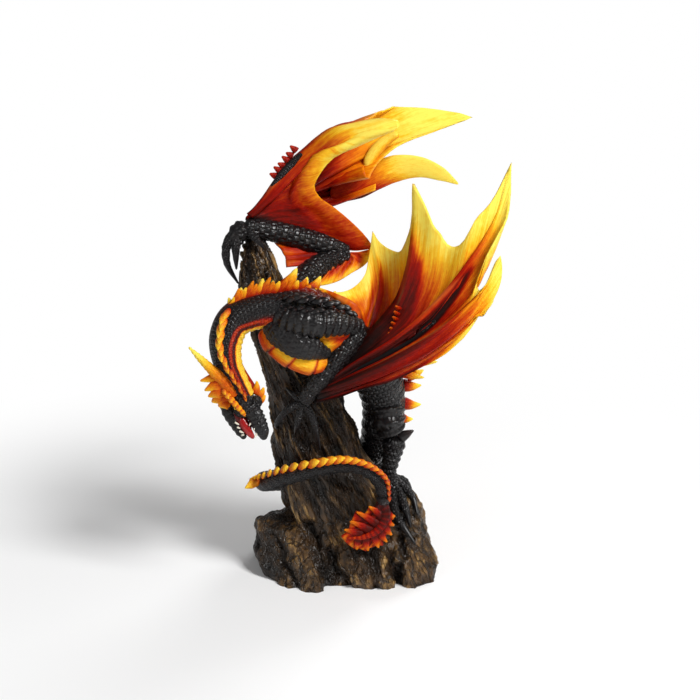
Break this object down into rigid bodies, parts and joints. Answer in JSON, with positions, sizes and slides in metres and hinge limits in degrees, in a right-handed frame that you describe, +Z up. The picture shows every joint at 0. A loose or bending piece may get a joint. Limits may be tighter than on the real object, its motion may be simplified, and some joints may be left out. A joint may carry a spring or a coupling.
{
  "type": "dragon statue",
  "caption": "Cast and painted statue of a winged dragon with flame-edged wings, climbing down a broken tree trunk that stands on a rock plinth.",
  "frame": {"origin": "on the flat underside of the rock plinth, near the middle of the footprint", "axes": "+Z up; the front view looks along +Y, with +X to the right, so the dragon's head is at -X and its wings open towards +X"},
  "size_m": [0.1895, 0.1233, 0.2856],
  "materials": {
    "rock_paint": "satin",
    "dragon_paint": "satin"
  },
  "bodies": {
    "root": {"rock_plinth": "rock_paint", "dragon": "dragon_paint"}
  },
  "joints": []
}
